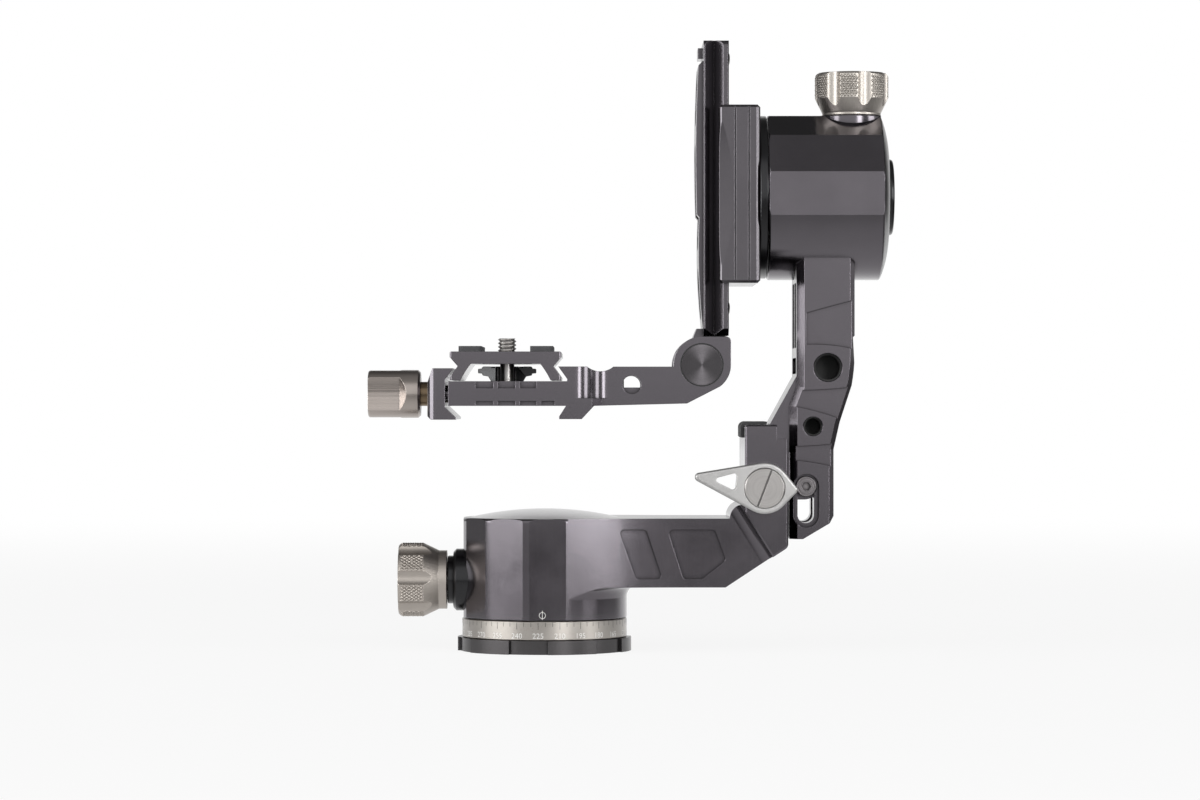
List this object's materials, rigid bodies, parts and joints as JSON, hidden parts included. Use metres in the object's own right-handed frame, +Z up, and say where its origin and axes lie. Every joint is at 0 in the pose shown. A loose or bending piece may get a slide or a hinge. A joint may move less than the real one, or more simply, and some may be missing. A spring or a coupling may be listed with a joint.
{
  "type": "gimbal tripod head",
  "caption": "Folding gimbal head for a tripod: panning base, hinged upright arm, tilting rail and camera platform with a quick-release clamp.",
  "frame": {"origin": "pan axis at the underside of the base flange", "axes": "+X from the camera platform's side towards the upright arm, +Y from the front with the lever to the back, +Z up along the pan axis"},
  "size_m": [0.1812, 0.0806, 0.2093],
  "materials": {
    "gunmetal_aluminium": "satin gunmetal anodised",
    "black_aluminium": "satin black anodised",
    "champagne_aluminium": "champagne titanium anodised, knurled",
    "satin_aluminium": "satin silver anodised",
    "stainless_steel": "stainless",
    "black_rubber": "matt",
    "bronze_shoe": "machined"
  },
  "bodies": {
    "base": {"base_flange": "gunmetal_aluminium", "scale_ring": "satin_aluminium", "pan_spindle": "stainless_steel", "spindle_nut": "stainless_steel", "thread_bush": "stainless_steel", "base_screws": "stainless_steel"},
    "pan": {"pan_housing": "gunmetal_aluminium", "pan_top_cap": "gunmetal_aluminium", "pan_bearings": "stainless_steel", "pan_knob_collar": "black_aluminium", "fold_bumper": "black_rubber"},
    "pan_brake": {"pan_brake_shoe": "bronze_shoe"},
    "pan_lock": {"pan_knob": "champagne_aluminium", "pan_knob_stud": "stainless_steel"},
    "fold_clamp": {"fold_clamp_shoe": "bronze_shoe"},
    "fold_lock": {"fold_lever": "satin_aluminium", "fold_lever_cap": "satin_aluminium", "fold_lever_stud": "stainless_steel"},
    "fold_pivot": {"fold_pivot_bolt": "stainless_steel", "fold_pivot_nut": "stainless_steel"},
    "arm": {"upper_arm": "gunmetal_aluminium", "tilt_end_cap": "black_aluminium", "tilt_cap_button": "black_aluminium", "tilt_bearings": "stainless_steel"},
    "tilt_brake": {"tilt_brake_shoe": "bronze_shoe"},
    "tilt_lock": {"tilt_knob": "champagne_aluminium", "tilt_knob_stud": "stainless_steel"},
    "tilt": {"tilt_spindle": "black_aluminium", "tilt_brake_drum": "stainless_steel", "tilt_spindle_nut": "stainless_steel", "rail_clamp": "gunmetal_aluminium", "rail_clamp_screws": "stainless_steel"},
    "rail_grip": {"rail_jaw": "gunmetal_aluminium"},
    "rail_lock": {"rail_knob": "champagne_aluminium", "rail_knob_screw": "stainless_steel"},
    "rail": {"swing_rail": "gunmetal_aluminium", "rail_stop_screws": "stainless_steel"},
    "platform": {"camera_platform": "gunmetal_aluminium", "hinge_pin": "stainless_steel", "hinge_pin_caps": "satin_aluminium"},
    "platform_grip": {"platform_jaw": "gunmetal_aluminium"},
    "platform_lock": {"platform_knob": "champagne_aluminium", "platform_knob_screw": "bronze_shoe"},
    "plate": {"quick_release_plate": "gunmetal_aluminium", "plate_pads": "black_rubber"},
    "camera_fixing": {"camera_screw": "stainless_steel", "camera_screw_ring": "black_aluminium"}
  },
  "joints": [
    {"name": "pan_turn", "type": "hinge", "parent": "base", "child": "pan", "pos_m": [0, 0, 0.03], "axis": [0, 0, 1], "continuous": true},
    {"name": "pan_brake_slide", "type": "slide", "parent": "pan", "child": "pan_brake", "axis": [-1, 0, 0], "range_m": [0, 0.000625]},
    {"name": "pan_knob_turn", "type": "hinge", "parent": "pan_brake", "child": "pan_lock", "pos_m": [-0.04, 0, 0.0243], "axis": [-1, 0, 0], "range_deg": [0, 180]},
    {"name": "fold_clamp_slide", "type": "slide", "parent": "pan", "child": "fold_clamp", "axis": [0, -1, 0], "range_m": [0, 0.00025]},
    {"name": "fold_lever_turn", "type": "hinge", "parent": "fold_clamp", "child": "fold_lock", "pos_m": [0.0748, -0.031, 0.0566], "axis": [0, -1, 0], "range_deg": [0, 90]},
    {"name": "arm_fold", "type": "hinge", "parent": "pan", "child": "fold_pivot", "pos_m": [0.0896, 0, 0.0569], "axis": [0, 1, 0], "range_deg": [0, 90]},
    {"name": "arm_lift", "type": "slide", "parent": "fold_pivot", "child": "arm", "axis": [0, 0, 1], "range_m": [0, 0.0095]},
    {"name": "tilt_brake_slide", "type": "slide", "parent": "arm", "child": "tilt_brake", "axis": [0, 0, 1], "range_m": [0, 0.000625]},
    {"name": "tilt_knob_turn", "type": "hinge", "parent": "tilt_brake", "child": "tilt_lock", "pos_m": [0.1062, 0, 0.19], "axis": [0, 0, 1], "range_deg": [0, 180]},
    {"name": "tilt_turn", "type": "hinge", "parent": "arm", "child": "tilt", "pos_m": [0.095, 0, 0.1565], "axis": [1, 0, 0], "continuous": true},
    {"name": "rail_grip_slide", "type": "slide", "parent": "tilt", "child": "rail_grip", "axis": [0, 1, 0], "range_m": [0, 0.0025]},
    {"name": "rail_knob_turn", "type": "hinge", "parent": "rail_grip", "child": "rail_lock", "pos_m": [0.06853, 0.038, 0.1565], "axis": [0, 1, 0], "range_deg": [0, 720]},
    {"name": "rail_slide", "type": "slide", "parent": "tilt", "child": "rail", "axis": [0, 0, 1], "range_m": [-0.0148, 0.0055]},
    {"name": "platform_fold", "type": "hinge", "parent": "rail", "child": "platform", "pos_m": [0.054, 0, 0.0984], "axis": [0, 1, 0], "range_deg": [0, 75]},
    {"name": "platform_grip_slide", "type": "slide", "parent": "platform", "child": "platform_grip", "axis": [-1, 0, 0], "range_m": [0, 0.00375]},
    {"name": "platform_knob_turn", "type": "hinge", "parent": "platform_grip", "child": "platform_lock", "pos_m": [-0.05, 0, 0.0885], "axis": [-1, 0, 0], "range_deg": [0, 1080]},
    {"name": "plate_slide", "type": "slide", "parent": "platform", "child": "plate", "axis": [0, 1, 0], "range_m": [-0.012, 0.012]},
    {"name": "camera_screw_turn", "type": "hinge", "parent": "plate", "child": "camera_fixing", "pos_m": [-0.0129, 0, 0.1], "axis": [0, 0, 1], "continuous": true}
  ],
  "couplings": [
    {"joint": "pan_knob_turn", "follows": "pan_brake_slide", "rad_per_m": 5026.5},
    {"joint": "fold_lever_turn", "follows": "fold_clamp_slide", "rad_per_m": 6283.2},
    {"joint": "tilt_knob_turn", "follows": "tilt_brake_slide", "rad_per_m": 5026.5},
    {"joint": "rail_knob_turn", "follows": "rail_grip_slide", "rad_per_m": 5026.5},
    {"joint": "platform_knob_turn", "follows": "platform_grip_slide", "rad_per_m": 5026.5}
  ]
}
